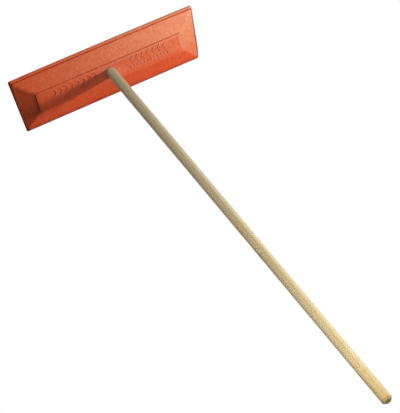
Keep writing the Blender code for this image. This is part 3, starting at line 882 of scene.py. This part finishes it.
def add_socket(back):
    """The pole's socket and its two crossing gussets."""
    socket = [(0, -SOCKET_BACK), (SOCKET_R - 1.6, -SOCKET_BACK),
              (SOCKET_R - 0.9, -SOCKET_BACK + 0.2), (SOCKET_R - 0.35, -SOCKET_BACK + 0.6),
              (SOCKET_R, -SOCKET_BACK + 1.3), (SOCKET_R, 4.0), (0, 4.0)]
    boolean(back, turned(socket, 96), "UNION", AXIS)
    socket_y = POLE_Y - BACK_Z * math.tan(POLE_LEAN)
    upright = Matrix.Rotation(math.pi / 2, 4, "X")
    across = gusset(-41.0, -15.0, 15.0, 41.0,
                    Matrix.Translation((0, (socket_y + 2.0) * MM, 0)) @ upright)
    boolean(back, across, "UNION", BLADE)
    along = gusset(-62.0, socket_y - 12.0, socket_y + 14.0, 70.0,
                   Matrix.Rotation(math.pi / 2, 4, "Z") @ upright)
    boolean(back, along, "UNION", BLADE)
    # cut off whatever would reach into the front shell
    trim = prism([(-60, -60), (60, -60), (60, 60), (-60, 60)], -SKIN - FIT_GAP, 30)
    boolean(back, trim, "DIFFERENCE", BLADE)


def build_back_shell(material):
    back = make("back_shell_tray", loft(tray_rings()), BLADE, material, "blade",
                "back_plastic", "back_shell")
    y0, y1 = POCKET_Y
    pockets = []
    for side in (-1, 1):
        for span in POCKET_SPANS:
            x0, x1 = sorted(side * x for x in span)
            pockets += [pocket(x0, x1, y0, y1), pocket(x0, x1, -y1, -y0)]
    boolean(back, merge(pockets), "DIFFERENCE", BLADE)
    pads = at_screws([(0, BACK_Z), (PAD_R, BACK_Z), (PAD_R, BACK_Z + PAD_T),
                      (0, BACK_Z + PAD_T)], 40)
    boolean(back, merge(pads), "UNION", BLADE)
    add_socket(back)
    holes = at_screws([(0, BACK_Z - 2), (COUNTERBORE_R, BACK_Z - 2),
                       (COUNTERBORE_R, BACK_Z + COUNTERBORE_T),
                       (HOLE_R, BACK_Z + COUNTERBORE_T), (HOLE_R, BACK_Z + FLOOR + 2),
                       (0, BACK_Z + FLOOR + 2)], 36)
    bore = turned([(0, -SOCKET_BACK - 5), (WASHER_BORE_R, -SOCKET_BACK - 5),
                   (WASHER_BORE_R, -SOCKET_END), (SOCKET_BORE_R, -SOCKET_END),
                   (SOCKET_BORE_R, 30.0), (0, 30.0)], 96, AXIS_IN_BLADE)
    boolean(back, merge(holes + [bore]), "DIFFERENCE", BLADE)


# ------------------------------------------------------------------------ pole
def build_pole(material):
    """From the chamfered far end, down the slightly wavy taper, to the bored near end."""
    chamfer_z = POLE_OUT - TIP_CHAMFER
    profile = [(0, POLE_OUT), (POLE_TIP_R - 6.6, POLE_OUT), (POLE_TIP_R - 5.6, POLE_OUT - 0.12),
               (POLE_TIP_R - 4.9, POLE_OUT - 0.5), (POLE_TIP_R - 2.6, POLE_OUT - 2.75),
               (POLE_TIP_R - 0.75, chamfer_z), (POLE_TIP_R - 0.2, chamfer_z - 0.8),
               (POLE_TIP_R - 0.02, chamfer_z - 2.0)]
    taper_length = chamfer_z - 1.2 - TAPER_START
    z = chamfer_z - 14.0
    while z > TAPER_START + 2.0:
        radius = POLE_R + (POLE_TIP_R - POLE_R) * (z - TAPER_START) / taper_length
        wave = 0.05 * math.sin(z * 0.021) * math.sin(z * 0.0063 + 1.0)
        profile.append((radius - 0.05 - wave, z))
        z -= 18.0
    profile += [(POLE_R, TAPER_START), (POLE_R, 0.0), (POLE_R, -POLE_IN + 1.2),
                (POLE_R - 0.35, -POLE_IN + 0.35), (POLE_R - 1.2, -POLE_IN),
                (POLE_BORE_R, -POLE_IN), (POLE_BORE_R, -POLE_IN + POLE_BORE_L),
                (0, -POLE_IN + POLE_BORE_L + 1.5)]
    make("pole_turned", turned(profile, 96), AXIS, material, "pole", "pole_wood", "pole",
         smooth=38.0)


# -------------------------------------------------------------------- fixings
def build_washer(material):
    top, bottom = WASHER_Z, WASHER_Z - WASHER_T
    profile = [(WASHER_BORE_R, top - 0.1), (WASHER_BORE_R + 0.1, top), (WASHER_R - 0.4, top),
               (WASHER_R - 0.1, top - 0.15), (WASHER_R, top - 0.45), (WASHER_R, bottom + 0.45),
               (WASHER_R - 0.1, bottom + 0.15), (WASHER_R - 0.4, bottom),
               (WASHER_BORE_R + 0.3, bottom), (WASHER_BORE_R, bottom + 0.25)]
    make("pole_washer_disc", turned(profile, 72), AXIS, material, "blade", "zinc_steel",
         "pole_washer", smooth=50.0)


def lag_shank():
    """Plain neck, then a helical ridge round a core, tapering to the point."""
    segments = 24
    z_low, z_high = LAG_Z - 1.5, LAG_Z + LAG_L
    rows = int((z_high - z_low) / (THREAD_PITCH / 6))
    core = LAG_R - THREAD_DEPTH
    rings = []
    for i in range(rows + 1):
        z = z_low + (z_high - z_low) * i / rows
        taper = min(1.0, max(0.02, (z_high - z) / LAG_POINT))
        ring = []
        for k in range(segments):
            angle = 2 * math.pi * k / segments
            phase = ((z - LAG_Z - 10.0) / THREAD_PITCH - angle / (2 * math.pi)) % 1.0
            ridge = max(0.0, 1.0 - abs(phase - 0.5) * 4.0)
            radius = LAG_R if z < LAG_Z + LAG_PLAIN else core + (LAG_R - core) * ridge
            ring.append((radius * taper * MM * math.cos(angle),
                         radius * taper * MM * math.sin(angle), z * MM))
        rings.append(ring)
    return skin(rings, cap_turn=-1)


def build_lag(material):
    lag = make("pole_screw_lag", lag_shank(), AXIS, material, "blade", "zinc_steel",
               "pole_screw", smooth=35.0)
    hex_r = LAG_HEX / 2 / math.cos(math.pi / 6)
    head_z = LAG_Z - LAG_HEAD
    hexagon = [(hex_r * math.cos(math.pi / 3 * k), hex_r * math.sin(math.pi / 3 * k))
               for k in range(6)]
    boolean(lag, prism(hexagon, head_z, LAG_Z), "UNION", AXIS)
    # turn off the head's outer corners
    boolean(lag, turned([(LAG_HEX / 2 - 0.3, head_z - 1.0), (hex_r + 2.5, head_z - 1.0),
                         (hex_r + 2.5, head_z + 1.25), (LAG_HEX / 2 - 0.1, head_z - 0.02)], 48),
            "DIFFERENCE", AXIS)


def build_shell_screws(material):
    """Domed screws with a cross recess, each turned a little further than the last."""
    seat = BACK_Z + COUNTERBORE_T - FIT_GAP
    top = seat - SCREW_HEAD_T
    profile = [(0, top), (1.2, top + 0.02), (2.3, top + 0.22), (3.2, top + 0.68),
               (3.75, top + 1.2), (SCREW_HEAD_R, seat - 0.75), (SCREW_HEAD_R, seat - 0.15),
               (SCREW_HEAD_R - 0.15, seat), (SCREW_R, seat), (SCREW_R, seat + SCREW_L - 3.0),
               (0.25, seat + SCREW_L - 0.1), (0, seat + SCREW_L)]
    for i, (x, y) in enumerate(SCREW_SPOTS):
        place = BLADE @ Matrix.Translation((x * MM, y * MM, 0))
        screw = make(f"shell_screw_pan_{i + 1}", turned(profile, 32), place, material, "blade",
                     "zinc_steel", f"shell_screw_{i + 1}", smooth=40.0)
        turn = Matrix.Rotation(0.35 + i * 0.83, 4, "Z")
        for angle in (0.0, math.pi / 2):
            slot = prism([(-2.1, -0.42), (2.1, -0.42), (2.1, 0.42), (-2.1, 0.42)],
                         top - 1.0, top + 1.35)
            slot.transform(turn @ Matrix.Rotation(angle, 4, "Z"))
            boolean(screw, slot, "DIFFERENCE", place)


# ----------------------------------------------------------------- the studio
def build_floor():
    """White to the camera, a pale matt floor for everything that bounces off it."""
    half, z = 9, -0.0003
    mesh = bpy.data.meshes.new("studio_floor")
    mesh.from_pydata([(-half, -half, z), (half, -half, z), (half, half, z), (-half, half, z)],
                     [], [(0, 1, 2, 3)])
    floor = bpy.data.objects.new("studio_floor", mesh)
    scene_objects.link(floor)
    shader = Shader("studio_floor")
    shader.surface({"Base Color": (0.80, 0.80, 0.80), "Roughness": 0.9,
                    "Specular IOR Level": 0.1})
    seen = shader.node("ShaderNodeLightPath", {})
    glow = shader.node("ShaderNodeEmission", {"Color": (1, 1, 1)})
    blend = shader.node("ShaderNodeMixShader", {0: seen.outputs["Is Camera Ray"],
                                                1: shader.principled.outputs[0],
                                                2: glow.outputs[0]})
    shader.feed(shader.tree.nodes["Material Output"].inputs["Surface"], blend.outputs[0])
    mesh.materials.append(shader.material)


def build_world():
    """White to the camera, nearly dark as a light."""
    world = bpy.data.worlds.new("studio")
    scene.world = world
    world.use_nodes = True
    tree = world.node_tree
    background = tree.nodes["Background"]
    background.inputs["Color"].default_value = (1, 1, 1, 1)
    path = tree.nodes.new("ShaderNodeLightPath")
    strength = tree.nodes.new("ShaderNodeMath")
    strength.operation = "MULTIPLY_ADD"
    tree.links.new(path.outputs["Is Camera Ray"], strength.inputs[0])
    strength.inputs[1].default_value = 1.0
    strength.inputs[2].default_value = 0.01
    tree.links.new(strength.outputs[0], background.inputs["Strength"])


def area(name, direction, distance, size, energy, color, target, spread=180.0):
    """An area light off its target in a row frame direction; metres, watts and degrees."""
    direction = direction.normalized()
    light = bpy.data.lights.new(name, "AREA")
    light.shape = "RECTANGLE"
    light.size, light.size_y = size
    light.energy = energy
    light.spread = math.radians(spread)
    light.color = color
    lamp = bpy.data.objects.new(name, light)
    scene_objects.link(lamp)
    lamp.location = target + direction * distance
    lamp.rotation_euler = direction.to_track_quat("Z", "Y").to_euler()
    return lamp


WHITE, WARM = (1, 1, 1), (1.0, 0.98, 0.95)
# aimed at the blade: name, direction in the blade frame, distance, size, energy, colour
BLADE_LIGHTS = (
    ("key", (0.75, -0.05, 0.65), 2.0, (0.22, 0.22), 23.5, WARM),
    ("key_low", (0.948, 0.032, 0.316), 2.4, (0.22, 0.22), 8.0, WARM),
    ("top", (0.1, 0.9, 0.42), 2.4, (2.0, 1.0), 9.5, (0.86, 0.98, 1.12)),
    ("top_right", (0.6, 0.8, 0.2), 2.0, (1.0, 0.8), 8.5, (0.90, 0.98, 1.08)),
    ("top_graze", (0.05, 1.0, -0.05), 1.6, (2.0, 0.6), 9.0, WHITE),
    ("behind", (-0.35, 0.12, -1.0), 1.8, (1.2, 0.8), 14.0, WHITE))
# soft fills that reach only the pole: name, place and target in the row frame, size, energy
POLE_LIGHTS = (
    ("pole_tip_over", (0.15, -0.95, 1.0), (0, -0.95, 0), (0.5, 0.5), 1.6),
    ("pole_tip_left", (-0.7, -0.95, 0.75), (0, -0.9, 0), (0.5, 0.5), 1.9),
    ("pole_head_over", (0.05, 0.15, 1.1), (0, 0.25, 0.05), (0.5, 1.0), 0.15),
    ("pole_head_left", (-0.9, 0.1, 0.75), (0, 0.25, 0.05), (0.5, 1.0), 0.70))


def receivers(name, piece_names):
    group = bpy.data.collections.new(name)
    for piece_name in piece_names:
        group.objects.link(bpy.data.objects[piece_name])
    return group


def build_lights():
    centre, turn = BLADE @ Vector((0, 0, 0)), BLADE.to_3x3()
    for name, direction, distance, size, energy, color in BLADE_LIGHTS:
        area(name, turn @ Vector(direction), distance, size, energy, color, centre)
    # the low key rakes across the blade only
    key_low = bpy.data.objects["key_low"]
    key_low.light_linking.receiver_collection = receivers(
        "blade_pieces", ("front_shell_skin", "back_shell_tray"))
    pole_group = receivers("pole_pieces", ("pole_turned", "pole_washer_disc", "pole_screw_lag"))
    for name, place, target, size, energy in POLE_LIGHTS:
        offset = Vector(place) - Vector(target)
        lamp = area(name, offset.normalized(), offset.length, size, energy, WHITE,
                    Vector(target), spread=100.0)
        lamp.light_linking.receiver_collection = pole_group


def build_camera():
    lens = bpy.data.cameras.new("camera")
    lens.sensor_width = 36.0
    lens.sensor_fit = "AUTO"
    lens.lens = 135.0565
    lens.clip_start, lens.clip_end = 0.05, 50.0
    lens.shift_x, lens.shift_y = -0.0005, -0.0005
    camera = bpy.data.objects.new("camera", lens)
    scene_objects.link(camera)
    right = Vector((0.870269, -0.476607, -0.12441))
    up = Vector((0.404555, 0.547492, 0.732522))
    backward = Vector((-0.281012, -0.687822, 0.669279))
    pose = Matrix((right, up, backward)).transposed().to_4x4()
    pose.translation = Vector((-1.226306, -2.815996, 2.850714))
    camera.matrix_world = pose
    scene.camera = camera


# ----------------------------------------------------------------------- build
front_plastic = orange_plastic("front_plastic", base=(0.82, 0.100, 0.019),
                               deep=(0.78, 0.088, 0.016))
back_plastic = orange_plastic("back_plastic", base=(0.81, 0.099, 0.019),
                              deep=(0.77, 0.087, 0.016))
pole_wood = wood("pole_wood")
zinc_steel = zinc("zinc_steel")

build_front_shell(front_plastic)
build_back_shell(back_plastic)
build_pole(pole_wood)
build_washer(zinc_steel)
build_lag(zinc_steel)
build_shell_screws(zinc_steel)
for piece_name in pieces:
    settle(piece_name)

build_floor()
build_world()
build_lights()
scene.view_settings.view_transform = "Standard"
scene.view_settings.look = "None"
build_camera()
